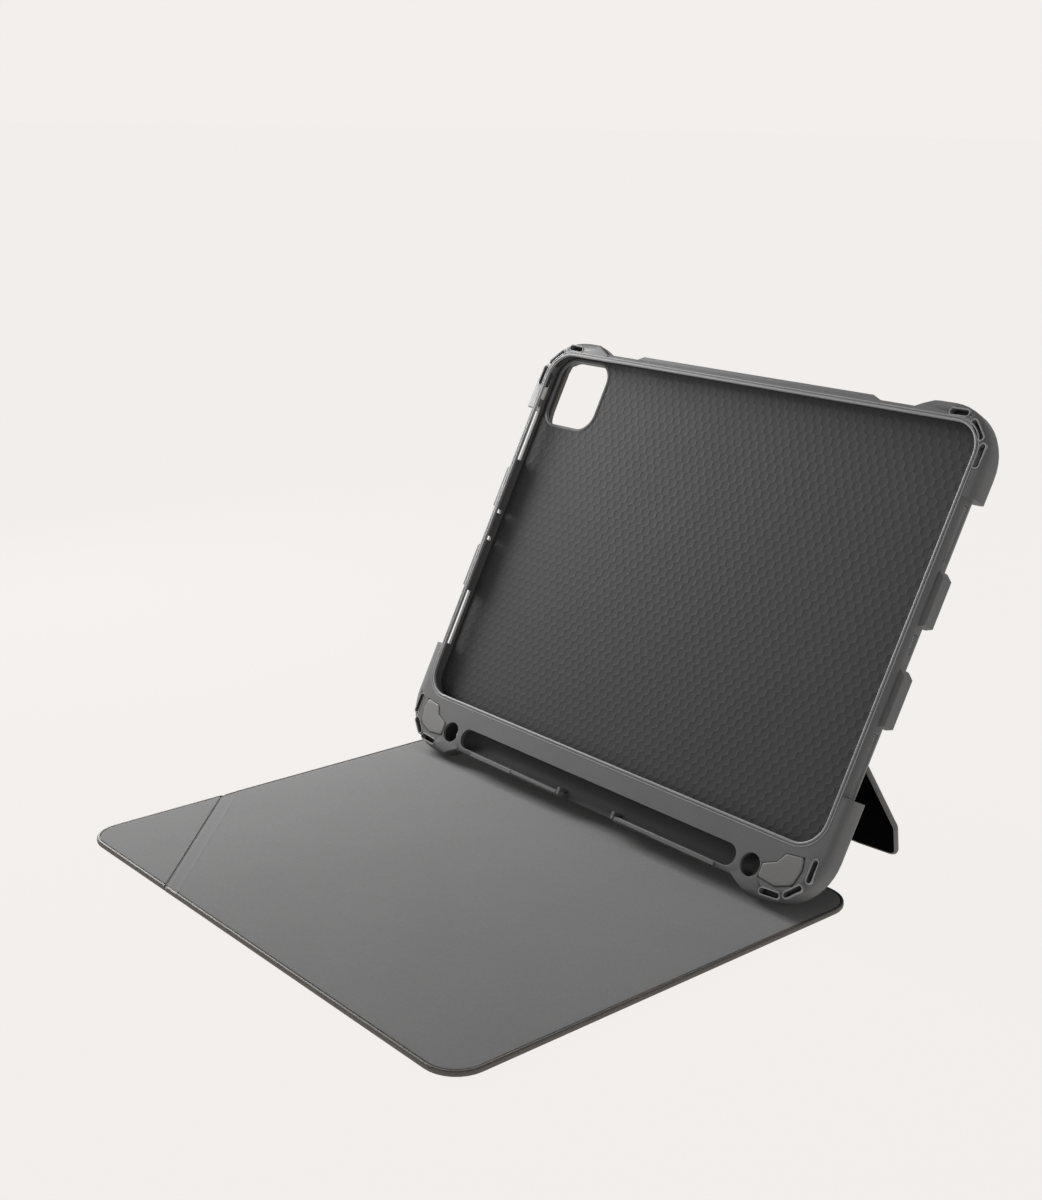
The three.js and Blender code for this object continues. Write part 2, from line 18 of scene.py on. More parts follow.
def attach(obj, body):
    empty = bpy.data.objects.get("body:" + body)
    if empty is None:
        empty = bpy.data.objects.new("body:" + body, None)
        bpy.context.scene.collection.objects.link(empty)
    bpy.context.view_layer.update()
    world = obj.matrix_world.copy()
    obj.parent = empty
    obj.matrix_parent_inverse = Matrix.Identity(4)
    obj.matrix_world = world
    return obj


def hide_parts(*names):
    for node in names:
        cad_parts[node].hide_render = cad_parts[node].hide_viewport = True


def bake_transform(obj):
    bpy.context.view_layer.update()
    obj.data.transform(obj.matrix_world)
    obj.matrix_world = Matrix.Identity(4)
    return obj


MM = 0.001

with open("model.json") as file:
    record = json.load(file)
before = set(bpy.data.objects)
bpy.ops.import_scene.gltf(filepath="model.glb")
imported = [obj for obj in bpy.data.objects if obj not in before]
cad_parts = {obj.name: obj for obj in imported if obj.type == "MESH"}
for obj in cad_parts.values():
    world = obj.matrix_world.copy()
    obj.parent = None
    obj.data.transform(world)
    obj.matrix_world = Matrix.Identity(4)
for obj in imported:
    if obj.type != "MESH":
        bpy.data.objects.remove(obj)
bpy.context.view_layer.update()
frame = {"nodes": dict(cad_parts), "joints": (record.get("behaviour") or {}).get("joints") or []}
joints = {joint["name"]: joint for joint in frame["joints"]}

# ---- Sizes, in millimetres ---------------------------------------------------------

# Tray, in its own frame: u right, v up the tray, w out of its front face
TRAY_SLOPE = math.radians(63)
TRAY_LIFT = 1.7
OPENING_HALF_WIDTH = 122.3
OPENING_LOW, OPENING_HIGH = 31.6, 207.1
OPENING_RADIUS = 12
POCKET_HALF_WIDTH = 124.1
POCKET_LOW, POCKET_HIGH = 29.8, 208.9
FLOOR_W = -6.9
WINDOW = (-121, 173.8, -88.5, 206.5)
WINDOW_RADIUS = 8.5

# Half width of the air-cushion slots in the bumpers
CUSHION_RADIUS = 1.15

# Strap holes through the chin
STRAP_HOLE_RADIUS = 4.85
STRAP_HOLE_U = 95.6
STRAP_HOLE_V = 16.5

# Pen trough in the chin, and the turned ends of its lower lip beside the gap
TROUGH_HALF_LENGTH = 87.6
TROUGH_LOW, TROUGH_HIGH = 11.9, 21.3
TROUGH_FLOOR = -6.6
LIP_END_LOW, LIP_END_HIGH = 10.0, 13.6

# Honeycomb sheet on the tray's floor: its cells, ridges and edges
CELL = 4.6
CELL_FLOOR = FLOOR_W + 0.08
RIDGE_HALF = 0.2
RIDGE_FOOT = 0.75
RIDGE_HEIGHT = 0.13
SHEET_BOTTOM = FLOOR_W - 0.4
SHEET_GAP = 0.3
SHEET_CORNER = 5.0

# Cover and its folds, flat on the table
COVER_HALF_WIDTH = 126
COVER_FRONT, COVER_BACK = -170, 40
COVER_RADIUS = 14
THICKNESS = 2.4
HEM = 1.3
CORNER_LEG = 68
CORNER_FOLD = 6.5
MAIN_LEG = CORNER_LEG + CORNER_FOLD * math.sqrt(2)
SPINE_HALF_WIDTH = 80
SPINE_NEAR, SPINE_FAR = 56, 79.9
STAND_HALF_WIDTH = 121.5
PANEL_THICKNESS = 2.2

# Webs of the folds: thickness in the middle, lap into a panel, and width beside the stand's fold
WEB_THICKNESS = 0.9
WEB_LAP = 0.8
STAND_WEB_REACH = 4.6
STAND_WEB_HALF_WIDTH = 120.3

# Rounded corners: steps in an arc, the tightest radius, and a round end's share of its half width,
# which leaves a short straight stretch between its two corners
ARC_STEPS = 8
TIGHT = 0.15
ROUND_END = 0.98


def joint_point(name):
    """A joint's place in millimetres."""
    return Vector(joints[name]["pos_m"]) / MM


STAND_TOP = joint_point("tray_tilt")
STAND_FOOT = joint_point("stand_foot_fold")
STAND_SLOPE = math.atan2(STAND_TOP.z - STAND_FOOT.z, STAND_FOOT.y - STAND_TOP.y)

FLAT = Matrix.Scale(MM, 4)
TRAY = (Matrix.Translation((0, 0, TRAY_LIFT * MM)) @ Matrix.Rotation(TRAY_SLOPE, 4, "X")
        @ Matrix.Scale(MM, 4))
STAND = (Matrix.Translation(STAND_TOP * MM) @ Matrix.Rotation(-STAND_SLOPE, 4, "X")
         @ Matrix.Scale(MM, 4))

# ---- Camera ------------------------------------------------------------------------

CAMERA_PLACE = Vector((480.57, -453.91, 293.55)) * MM
CAMERA_AZIMUTH = math.radians(48.872)
CAMERA_ELEVATION = math.radians(21.39)
CAMERA_ROLL = math.radians(-1.057)
CAMERA_LENS = 49.07
CAMERA_SENSOR = 36
CAMERA_SHIFT = (0.0044, 0.1299)
CAMERA_CLIP = (0.01, 100)


def make_camera():
    """The camera, from its place, its viewing angle and its slight roll."""
    back = Vector((
        math.sin(CAMERA_AZIMUTH) * math.cos(CAMERA_ELEVATION),
        -math.cos(CAMERA_AZIMUTH) * math.cos(CAMERA_ELEVATION),
        math.sin(CAMERA_ELEVATION)))
    level_right = Vector((0, 0, 1)).cross(back).normalized()
    level_down = level_right.cross(back)
    right = math.cos(CAMERA_ROLL) * level_right + math.sin(CAMERA_ROLL) * level_down
    up = back.cross(right)
    data = bpy.data.cameras.new("camera")
    data.sensor_fit = "VERTICAL"
    data.sensor_height = CAMERA_SENSOR
    data.lens = CAMERA_LENS
    data.shift_x, data.shift_y = CAMERA_SHIFT
    data.clip_start, data.clip_end = CAMERA_CLIP
    camera = bpy.data.objects.new("camera", data)
    bpy.context.scene.collection.objects.link(camera)
    turn = Matrix((right, up, back)).transposed()
    camera.matrix_world = Matrix.Translation(CAMERA_PLACE) @ turn.to_4x4()
    bpy.context.scene.camera = camera


make_camera()

# ---- Materials ---------------------------------------------------------------------

WHITE = (1, 1, 1)


class Recipe:
    """A node material with a Principled shader, and short ways to add to it."""

    def __init__(self, name, roughness):
        self.material = bpy.data.materials.new(name)
        self.material.use_nodes = True
        self.nodes = self.material.node_tree.nodes
        self.links = self.material.node_tree.links
        self.shader = self.nodes["Principled BSDF"]
        self.shader.inputs["Roughness"].default_value = roughness
        self.place = self.nodes.new("ShaderNodeTexCoord").outputs["Object"]
        self.height = None

    def noise(self, scale, detail=3.0, roughness=0.6):
        node = self.nodes.new("ShaderNodeTexNoise")
        node.inputs["Scale"].default_value = scale
        node.inputs["Detail"].default_value = detail
        node.inputs["Roughness"].default_value = roughness
        self.links.new(self.place, node.inputs["Vector"])
        return node.outputs["Fac"]

    def pebbles(self, scale, smoothness=0.6):
        node = self.nodes.new("ShaderNodeTexVoronoi")
        node.feature = "SMOOTH_F1"
        node.inputs["Scale"].default_value = scale
        node.inputs["Smoothness"].default_value = smoothness
        self.links.new(self.place, node.inputs["Vector"])
        return node.outputs["Distance"]

    def ramp(self, source, low, high, start=0.3, end=0.7):
        node = self.nodes.new("ShaderNodeValToRGB")
        node.color_ramp.elements[0].position = start
        node.color_ramp.elements[0].color = (*low, 1)
        node.color_ramp.elements[1].position = end
        node.color_ramp.elements[1].color = (*high, 1)
        self.links.new(source, node.inputs["Fac"])
        return node.outputs["Color"]

    def multiply(self, first, second):
        node = self.nodes.new("ShaderNodeMix")
        node.data_type = "RGBA"
        node.blend_type = "MULTIPLY"
        node.inputs["Factor"].default_value = 1
        self.links.new(first, node.inputs["A"])
        self.links.new(second, node.inputs["B"])
        return node.outputs["Result"]

    def color(self, output):
        self.links.new(output, self.shader.inputs["Base Color"])

    def vary_roughness(self, source, low, high):
        node = self.nodes.new("ShaderNodeMapRange")
        node.inputs["To Min"].default_value = low
        node.inputs["To Max"].default_value = high
        self.links.new(source, node.inputs["Value"])
        self.links.new(node.outputs["Result"], self.shader.inputs["Roughness"])

    def bump(self, source, depth_mm, strength):
        node = self.nodes.new("ShaderNodeBump")
        node.inputs["Distance"].default_value = depth_mm * MM
        node.inputs["Strength"].default_value = strength
        self.links.new(source, node.inputs["Height"])
        if self.height is not None:
            self.links.new(self.height, node.inputs["Normal"])
        self.height = node.outputs["Normal"]
        self.links.new(self.height, self.shader.inputs["Normal"])


def grey(level):
    return (level, level, level)


def shades(color, spread):
    """A darker and a lighter shade of a colour."""
    return [c * (1 - spread) for c in color], [min(1, c * (1 + spread)) for c in color]


def moulded_tpu(name, color, rough, gloss=0.45):
    """Satin moulded rubber: a fine spark-eroded grain and faint flow marks."""
    recipe = Recipe(name, rough[0])
    grain = recipe.noise(2600, 2)
    flow = recipe.noise(38, 4)
    fine = recipe.ramp(grain, *shades(color, 0.10))
    broad = recipe.ramp(flow, grey(0.93), WHITE)
    recipe.color(recipe.multiply(fine, broad))
    recipe.vary_roughness(flow, *rough)
    recipe.bump(grain, 0.030, 0.55)
    recipe.shader.inputs["Specular IOR Level"].default_value = gloss
    return recipe.material


def grained_skin(name, color):
    """Polyurethane skin with a fine pebbled grain."""
    recipe = Recipe(name, 0.5)
    cells = recipe.pebbles(1150)
    patches = recipe.noise(60, 3)
    creases = recipe.ramp(cells, *shades(color, 0.22), 0.1, 0.75)
    recipe.color(recipe.multiply(creases, recipe.ramp(patches, grey(0.88), WHITE)))
    recipe.vary_roughness(patches, 0.46, 0.6)
    recipe.bump(cells, 0.10, 0.6)
    recipe.bump(recipe.noise(4200, 2), 0.02, 0.4)
    return recipe.material


def microfibre(name, color, sheen):
    """Brushed lining: short nap that lies in soft patches."""
    recipe = Recipe(name, 0.92)
    nap = recipe.noise(3400, 4, 0.7)
    clumps = recipe.noise(420, 3)
    patches = recipe.noise(16, 4)
    fine = recipe.ramp(nap, *shades(color, 0.16))
    middle = recipe.ramp(clumps, grey(0.94), WHITE)
    broad = recipe.ramp(patches, grey(0.93), WHITE)
    recipe.color(recipe.multiply(recipe.multiply(fine, middle), broad))
    recipe.bump(nap, 0.05, 0.55)
    recipe.bump(clumps, 0.06, 0.25)
    recipe.shader.inputs["Sheen Weight"].default_value = sheen
    recipe.shader.inputs["Sheen Roughness"].default_value = 0.55
    recipe.shader.inputs["Specular IOR Level"].default_value = 0.15 if sheen else 0
    return recipe.material


def fibre_board(name):
    """Pressed paper board with short fibres."""
    recipe = Recipe(name, 0.9)
    fibres = recipe.noise(900, 5, 0.7)
    recipe.color(recipe.ramp(fibres, (0.20, 0.17, 0.14), (0.34, 0.30, 0.25)))
    recipe.bump(fibres, 0.05, 0.5)
    return recipe.material


def nickel(name):
    """Nickel plating with faint marks."""
    recipe = Recipe(name, 0.3)
    marks = recipe.noise(700, 4)
    recipe.color(recipe.ramp(marks, (0.50, 0.50, 0.51), (0.62, 0.62, 0.62)))
    recipe.vary_roughness(marks, 0.26, 0.4)
    recipe.shader.inputs["Metallic"].default_value = 1
    return recipe.material


TPU = moulded_tpu("tray_tpu", (0.114, 0.115, 0.117), (0.5, 0.6), 0.35)
TPU_FLOOR = moulded_tpu("tray_floor_tpu", (0.049, 0.049, 0.052), (0.6, 0.7), 0.15)
# A lighter copy of the tray's rubber for its edge beads and slot borders: painted highlights along
# those edges.
HIGHLIGHT_TPU = moulded_tpu("tray_bead_painted_highlight_tpu", (0.25, 0.25, 0.256), (0.42, 0.5), 0.35)
# A near-black copy of the tray's rubber for the pad bands, slot beds and strap-hole sleeves:
# painted shade in those gaps and holes.
SHADE = moulded_tpu("tray_painted_shade_tpu", (0.022, 0.022, 0.024), (0.6, 0.7))
PAD = moulded_tpu("pad_tpu", (0.155, 0.156, 0.153), (0.5, 0.6))
SKIN = grained_skin("outer_skin", (0.078, 0.069, 0.061))
LINING = microfibre("lining", (0.160, 0.160, 0.161), sheen=0.15)
BLACK = microfibre("inner_black", (0.0022, 0.0022, 0.0026), sheen=0.0)
BOARD = fibre_board("board")
STEEL = nickel("magnet")

# ---- Mesh helpers ------------------------------------------------------------------

# Edges sharper than this stay sharp in the shading, and points nearer than this are joined
SHARP = math.radians(38)
WELD = 0.01


def add_object(name, verts, faces, matrix, materials, indices=None):
    """A new object whose points are given in a local frame, in millimetres."""
    mesh = bpy.data.meshes.new(name)
    mesh.from_pydata([matrix @ Vector(v) for v in verts], [], faces)
    for material in materials:
        mesh.materials.append(material)
    if indices is not None:
        mesh.polygons.foreach_set("material_index", indices)
    bm = bmesh.new()
    bm.from_mesh(mesh)
    bmesh.ops.recalc_face_normals(bm, faces=bm.faces)
    bm.to_mesh(mesh)
    bm.free()
    piece = bpy.data.objects.new(name, mesh)
    bpy.context.scene.collection.objects.link(piece)
    smooth(piece)
    return piece


def smooth(piece):
    """Smooth shading that keeps real edges, with flat faces kept flat."""
    piece.data.polygons.foreach_set("use_smooth", [True] * len(piece.data.polygons))
    piece.data.set_sharp_from_angle(angle=SHARP)
    weighted = piece.modifiers.new("normals", "WEIGHTED_NORMAL")
    weighted.keep_sharp = True


def apply_modifiers(piece):
    """Puts the modifiers' result into the piece's own mesh."""
    bpy.context.view_layer.update()
    graph = bpy.context.evaluated_depsgraph_get()
    result = bpy.data.meshes.new_from_object(piece.evaluated_get(graph))
    piece.modifiers.clear()
    piece.data = result


def fillet(before, corner, after, radius):
    """Points of an arc that rounds one corner."""
    into = (corner - before).normalized()
    out = (after - corner).normalized()
    turn = math.acos(max(-1, min(1, into.dot(out))))
    reach = radius * math.tan(turn / 2)
    start = corner - into * reach
    side = 1 if into.x * out.y - into.y * out.x > 0 else -1
    centre = start + Vector((-into.y, into.x)) * radius * side
    arm = start - centre
    points = []
    for step in range(ARC_STEPS + 1):
        angle = side * turn * step / ARC_STEPS
        c, s = math.cos(angle), math.sin(angle)
        points.append(centre + Vector((arm.x * c - arm.y * s, arm.x * s + arm.y * c)))
    return points


def outline(corners, inset=0.0):
    """Closed outline, anticlockwise, from (x, y, radius, hemmed) corners.

    An edge runs from its corner to the next, and moves in by the inset only if it is hemmed.
    """
    count = len(corners)
    lines = []
    for i in range(count):
        a = Vector(corners[i][:2])
        b = Vector(corners[(i + 1) % count][:2])
        along = (b - a).normalized()
        inward = Vector((-along.y, along.x)) * (inset if corners[i][3] else 0)
        lines.append((a + inward, along))
    moved = []
    for i in range(count):
        (p, d), (q, e) = lines[i - 1], lines[i]
        cross = d.x * e.y - d.y * e.x
        gap = q - p
        moved.append(p + d * ((gap.x * e.y - gap.y * e.x) / cross))
    points = []
    for i in range(count):
        both = corners[i - 1][3] and corners[i][3]
        radius = max(corners[i][2] - (inset if both else 0), TIGHT)
        points += fillet(moved[i - 1], moved[i], moved[(i + 1) % count], radius)
    return [(p.x, p.y) for p in points]


def rectangle(x0, y0, x1, y1, radius):
    """Corners of an upright rectangle, all with one radius."""
    return [(x0, y0, radius, True), (x1, y0, radius, True),
            (x1, y1, radius, True), (x0, y1, radius, True)]


def loft(name, corners, rings, matrix, materials, body, closed=False):
    """A solid through rings of (inset, height), capped at both ends or joined into a hoop."""
    verts, faces = [], []
    for inset, height in rings:
        verts += [(x, y, height) for x, y in outline(corners, inset)]
    size = len(verts) // len(rings)
    last = len(rings) if closed else len(rings) - 1
    for ring in range(last):
        low = ring * size
        high = (ring + 1) % len(rings) * size
        for i in range(size):
            j = (i + 1) % size
            faces.append((low + i, low + j, high + j, high + i))
    if not closed:
        faces.append(tuple(range(size)))
        faces.append(tuple(range(len(verts) - size, len(verts))))
    piece = add_object(name, verts, faces, matrix, materials)
    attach(piece, body)
    return piece


def quarter(radius, start, end, height, steps=4):
    """Rings of a rounded edge: insets and heights on a quarter circle."""
    rings = []
    for step in range(steps + 1):
        angle = start + (end - start) * step / steps
        rings.append((radius * (1 - math.cos(angle)), height + radius * math.sin(angle)))
    return rings


# ---- Moulded pieces, softened from their CAD solids --------------------------------

# Faces that meet at less than the first angle are one face. An edge is rounded if it is sharper
# than the second angle and longer than this many rounding widths.
FLAT_FACE = math.radians(1.2)
HARD_EDGE = math.radians(50)
SHORTEST_ROUNDED = 5


def softened(name, nodes, width_mm, material, body):
    """A copy of a CAD solid whose flat faces are whole and whose edges are rounded."""
    bm = bmesh.new()
    for node in nodes:
        bm.from_mesh(frame["nodes"][node].data)
    bmesh.ops.remove_doubles(bm, verts=bm.verts, dist=WELD * MM)
    bmesh.ops.dissolve_limit(
        bm, angle_limit=FLAT_FACE, verts=bm.verts, edges=bm.edges, use_dissolve_boundaries=False)
    bmesh.ops.triangulate(bm, faces=bm.faces)
    shortest = SHORTEST_ROUNDED * width_mm * MM
    hard = [edge for edge in bm.edges
            if len(edge.link_faces) == 2 and edge.calc_length() > shortest
            and edge.calc_face_angle(0) > HARD_EDGE]
    bmesh.ops.bevel(
        bm, geom=hard, offset=width_mm * MM, offset_type="OFFSET", segments=2, profile=0.5,
        affect="EDGES", clamp_overlap=False)
    mesh = bpy.data.meshes.new(name)
    bm.to_mesh(mesh)
    bm.free()
    mesh.materials.append(material)
    piece = bpy.data.objects.new(name, mesh)
    bpy.context.scene.collection.objects.link(piece)
    smooth(piece)
    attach(piece, body)
    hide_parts(*nodes)
    return piece


softened("tray_moulding", ["tray_shell"], 0.16, TPU, "tray")
softened("back_panel_skin", ["back_skin"], 0.3, SKIN, "tray")

# ---- Details of the tray -----------------------------------------------------------

SIDES = ((1, "right"), (-1, "left"))


def hoop(name, corners, rings, material):
    """A hoop on the tray, whose rings of (inset, height) close on themselves."""
    loft(name, corners, rings, TRAY, [material], "tray", closed=True)


def chin_pads():
    """Soft pads with rounded outlines beside the strap holes, each ringed by a band painted dark
    as the shade in its groove.
    """
    shape = [(101.2, 13.4, 1.6), (110.4, 12.5, 4.0), (118, 15.4, 3.5), (119.8, 22.4, 3.0),
             (118.8, 27.3, 1.8), (110.2, 26.2, 2.0), (107.4, 21.8, 1.6), (101.2, 19.2, 1.6)]
    groove = [(-0.42, -0.5), (-0.42, 0.03), (-0.25, 0.06), (0.4, 0.06), (0.4, -0.5)]
    dome = [(0.12, -0.3), (0.12, 0.12), (0.28, 0.28), (0.6, 0.34), (2.2, 0.36)]
    for side, word in SIDES:
        corners = [(side * u, v, radius, True) for u, v, radius in shape[::side]]
        # A band painted dark as the shade in the gap round the pad.
        hoop(f"chin_pad_shade_band_{word}", corners, groove, SHADE)
        pad = loft(f"chin_pad_soft_{word}", corners, dome, TRAY, [PAD], "tray")
        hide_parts(f"chin_pad_{word}")


def stadium(ax, ay, bx, by, radius):
    """Corners of a slot with round ends from one point to another."""
    along = (Vector((bx, by)) - Vector((ax, ay))).normalized()
    across = Vector((-along.y, along.x)) * radius
    tip = along * radius
    start, end = Vector((ax, ay)), Vector((bx, by))
    places = [start - tip - across, end + tip - across, end + tip + across, start - tip + across]
    return [(p.x, p.y, radius * ROUND_END, True) for p in places]


def cushion_slots():
    """A raised border painted light as a highlight, and a bed painted dark as shade, for each
    air-cushion slot.
    """
    lower = [(124.2, 27.2, 124.2, 20), (121.5, 15.6, 116.8, 11.2), (112.9, 9.4, 105.5, 8.8)]
    upper = [(106.4, 210.4, 112.6, 210.6), (117.6, 207.4, 122.6, 202.2),
             (125.1, 198.6, 125.1, 191.4)]
    border = [(0.0, -0.9), (0.0, 0.05), (-0.12, 0.2), (-0.38, 0.22), (-0.55, 0.04), (-0.6, -0.9)]
    bed = [(0.02, -4.6), (0.02, -2.6), (0.3, -3.0)]
    for index, (au, av, bu, bv) in enumerate(lower + upper):
        for side, word in SIDES:
            corners = stadium(side * au, av, side * bu, bv, CUSHION_RADIUS)
            # The border is painted light as a highlight on the slot's edge.
            hoop(f"cushion_border_{word}_{index}", corners, border, HIGHLIGHT_TPU)
            # The bed is painted dark as the shade inside the slot.
            loft(f"cushion_shade_bed_{word}_{index}", corners, bed, TRAY, [SHADE], "tray")


def strap_holes():
    """A sleeve painted dark as shade, which narrows a little inside each strap hole."""
    half = STRAP_HOLE_RADIUS
    sleeve = [(-0.4, -1.2), (0.04, -1.2), (0.7, -8.0), (-0.4, -8.0)]
    for side, word in SIDES:
        u = side * STRAP_HOLE_U
        v = STRAP_HOLE_V
        corners = rectangle(u - half, v - half, u + half, v + half, half * ROUND_END)
        # The sleeve is painted dark as the shade inside the hole.
        hoop(f"strap_shade_sleeve_{word}", corners, sleeve, SHADE)


def chin_lip():
    """Raised steps along the lip below the pen trough, and its turned ends at the gap."""
    steps = [(-77, 9.8, -48, 11.75, 0.5), (-49, 10.2, -17.2, 11.6, 0.28),
             (20.2, 10.1, 44, 11.6, 0.32), (43, 9.9, 79, 11.7, 0.5)]
    step_radius = 0.7
    end_radius = 0.85
    for index, (u0, v0, u1, v1, height) in enumerate(steps):
        corners = rectangle(u0, v0, u1, v1, step_radius)
        rings = [(0, -0.4), (0, height - 0.2), (0.2, height)]
        loft(f"chin_lip_step_{index}", corners, rings, TRAY, [TPU], "tray")
    for word, u0, u1 in (("left", -16.9, -15.1), ("right", 18.1, 19.9)):
        corners = rectangle(u0, LIP_END_LOW, u1, LIP_END_HIGH, end_radius)
        rings = [(0, -5.5), (0, 0.2), (0.25, 0.42)]
        loft(f"chin_lip_end_{word}", corners, rings, TRAY, [TPU], "tray")


def tray_rim():
    """The lip round the opening: a fine bead at its edge and a step outside it, both painted
    lighter than the tray as edge highlights.
    """
    corners = rectangle(
        -OPENING_HALF_WIDTH, OPENING_LOW, OPENING_HALF_WIDTH, OPENING_HIGH, OPENING_RADIUS)
    rings = [(0.25, -0.95), (0.34, -0.30), (0.24, 0.12), (-0.02, 0.32), (-0.40, 0.36),
             (-0.66, 0.20), (-0.72, 0.02), (-0.3, -0.95)]
    hoop("tray_rim", corners, rings, HIGHLIGHT_TPU)
    outer = [(-1.2, -0.5), (-1.22, 0.02), (-1.36, 0.16), (-1.6, 0.18), (-1.76, 0.1), (-1.82, -0.5)]
    hoop("tray_rim_line", corners, outer, HIGHLIGHT_TPU)


def window_rim():
    """A raised border round the camera window."""
    corners = rectangle(*WINDOW, WINDOW_RADIUS)
    rings = [(0.15, FLOOR_W - 0.6), (0.15, FLOOR_W + 0.25), (-0.15, FLOOR_W + 0.5),
             (-0.9, FLOOR_W + 0.5), (-1.3, FLOOR_W + 0.2), (-1.5, FLOOR_W - 0.6)]
    hoop("window_rim", corners, rings, TPU)


def pen_trough():
    """The rounded bed of the pen trough."""
    width = TROUGH_HIGH - TROUGH_LOW
    gap = 0.05
    radius = width / 2 - 2 * gap
    corners = rectangle(
        -TROUGH_HALF_LENGTH, TROUGH_LOW, TROUGH_HALF_LENGTH, TROUGH_HIGH, radius + gap)
    top = TROUGH_FLOOR + radius
    turn = math.radians(86)
    bed = []
    for step in range(ARC_STEPS + 1):
        angle = turn * step / ARC_STEPS
        bed.append((gap + radius * (1 - math.cos(angle)), top - radius * math.sin(angle)))
    rings = [(gap, TROUGH_FLOOR - 0.2), *bed]
    loft("pen_trough", corners, rings, TRAY, [TPU_FLOOR], "tray")


def honeycomb():
    """The tray's floor: raised hexagon outlines with a shallow hollow in each cell."""
    rise = CELL * math.sqrt(3) / 2
    radius = CELL / math.sqrt(3)
    sides = 6
    spare = 3
    verts, faces = [], []
    rows = int((POCKET_HIGH - POCKET_LOW) / rise) + spare
    columns = int(2 * POCKET_HALF_WIDTH / CELL) + spare
    rings = [(0, RIDGE_HEIGHT), (RIDGE_HALF, RIDGE_HEIGHT), (RIDGE_FOOT, 0)]
    for row in range(rows):
        for column in range(columns):
            u = -POCKET_HALF_WIDTH + (column + 0.5 * (row % 2)) * CELL
            v = POCKET_LOW + (row - 0.5) * rise
            base = len(verts)
            for inset, height in rings:
                reach = radius - inset * 2 / math.sqrt(3)
                for k in range(sides):
                    angle = math.radians(60 * k + 30)
                    x = u + reach * math.cos(angle)
                    y = v + reach * math.sin(angle)
                    verts.append((x, y, CELL_FLOOR + height))
            for ring in range(len(rings) - 1):
                low = base + ring * sides
                high = low + sides
                for k in range(sides):
                    m = (k + 1) % sides
                    faces.append((low + k, low + m, high + m, high + k))
            faces.append(tuple(high + k for k in range(sides)))
    mesh = bpy.data.meshes.new("honeycomb_floor")
    mesh.from_pydata(verts, [], faces)
    bm = bmesh.new()
    bm.from_mesh(mesh)
    bmesh.ops.remove_doubles(bm, verts=bm.verts, dist=WELD)
    trim_to_pocket(bm)
    deepen(bm)
    bmesh.ops.recalc_face_normals(bm, faces=bm.faces)
    bmesh.ops.transform(bm, matrix=TRAY, verts=bm.verts)
    bm.to_mesh(mesh)
    bm.free()
    mesh.materials.append(TPU_FLOOR)
    piece = bpy.data.objects.new("honeycomb_floor", mesh)
    bpy.context.scene.collection.objects.link(piece)
    cut_window(piece)
    smooth(piece)
    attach(piece, "tray")


def trim_to_pocket(bm):
    """Cuts the sheet to the pocket, with its corners cut off under the lip."""
    middle = (POCKET_LOW + POCKET_HIGH) / 2
    half_height = (POCKET_HIGH - POCKET_LOW) / 2 - SHEET_GAP
    half_width = POCKET_HALF_WIDTH - SHEET_GAP
    cuts = [((half_width, 0), (1, 0)), ((-half_width, 0), (-1, 0)),
            ((0, middle + half_height), (0, 1)), ((0, middle - half_height), (0, -1))]
    for a in (-1, 1):
        for b in (-1, 1):
            cuts.append(((a * (half_width - SHEET_CORNER), middle + b * half_height), (a, b)))
    for (u, v), (nu, nv) in cuts:
        geometry = bm.verts[:] + bm.edges[:] + bm.faces[:]
        bmesh.ops.bisect_plane(
            bm, geom=geometry, plane_co=(u, v, 0), plane_no=(nu, nv, 0), clear_outer=True)


def deepen(bm):
    """Gives the sheet a flat underside just inside the tray's floor."""
    rim = [edge for edge in bm.edges if edge.is_boundary]
    result = bmesh.ops.extrude_edge_only(bm, edges=rim)
    lower = [v for v in result["geom"] if isinstance(v, bmesh.types.BMVert)]
    for vert in lower:
        vert.co.z = SHEET_BOTTOM
    bottom = [edge for edge in result["geom"]
              if isinstance(edge, bmesh.types.BMEdge) and edge.is_boundary]
    bmesh.ops.edgeloop_fill(bm, edges=bottom)


def cut_window(piece):
    """Opens the honeycomb at the camera window."""
    u0, v0, u1, v1 = WINDOW
    border = 1.2
    reach = 3
    corners = rectangle(u0 - border, v0 - border, u1 + border, v1 + border, WINDOW_RADIUS + border)
    verts = [(x, y, z) for z in (FLOOR_W - reach, FLOOR_W + reach) for x, y in outline(corners)]
    size = len(verts) // 2
    faces = [(i, (i + 1) % size, size + (i + 1) % size, size + i) for i in range(size)]
    faces += [tuple(range(size)), tuple(range(size, 2 * size))]
    cutter = add_object("window_cutter", verts, faces, TRAY, [])
    cutter.modifiers.clear()
    cut = piece.modifiers.new("window", "BOOLEAN")
    cut.operation = "DIFFERENCE"
    cut.solver = "EXACT"
    cut.object = cutter
    apply_modifiers(piece)
    bpy.data.objects.remove(cutter)


chin_pads()
cushion_slots()
strap_holes()
chin_lip()
tray_rim()
window_rim()
pen_trough()
honeycomb()

# ---- Soft panels -------------------------------------------------------------------


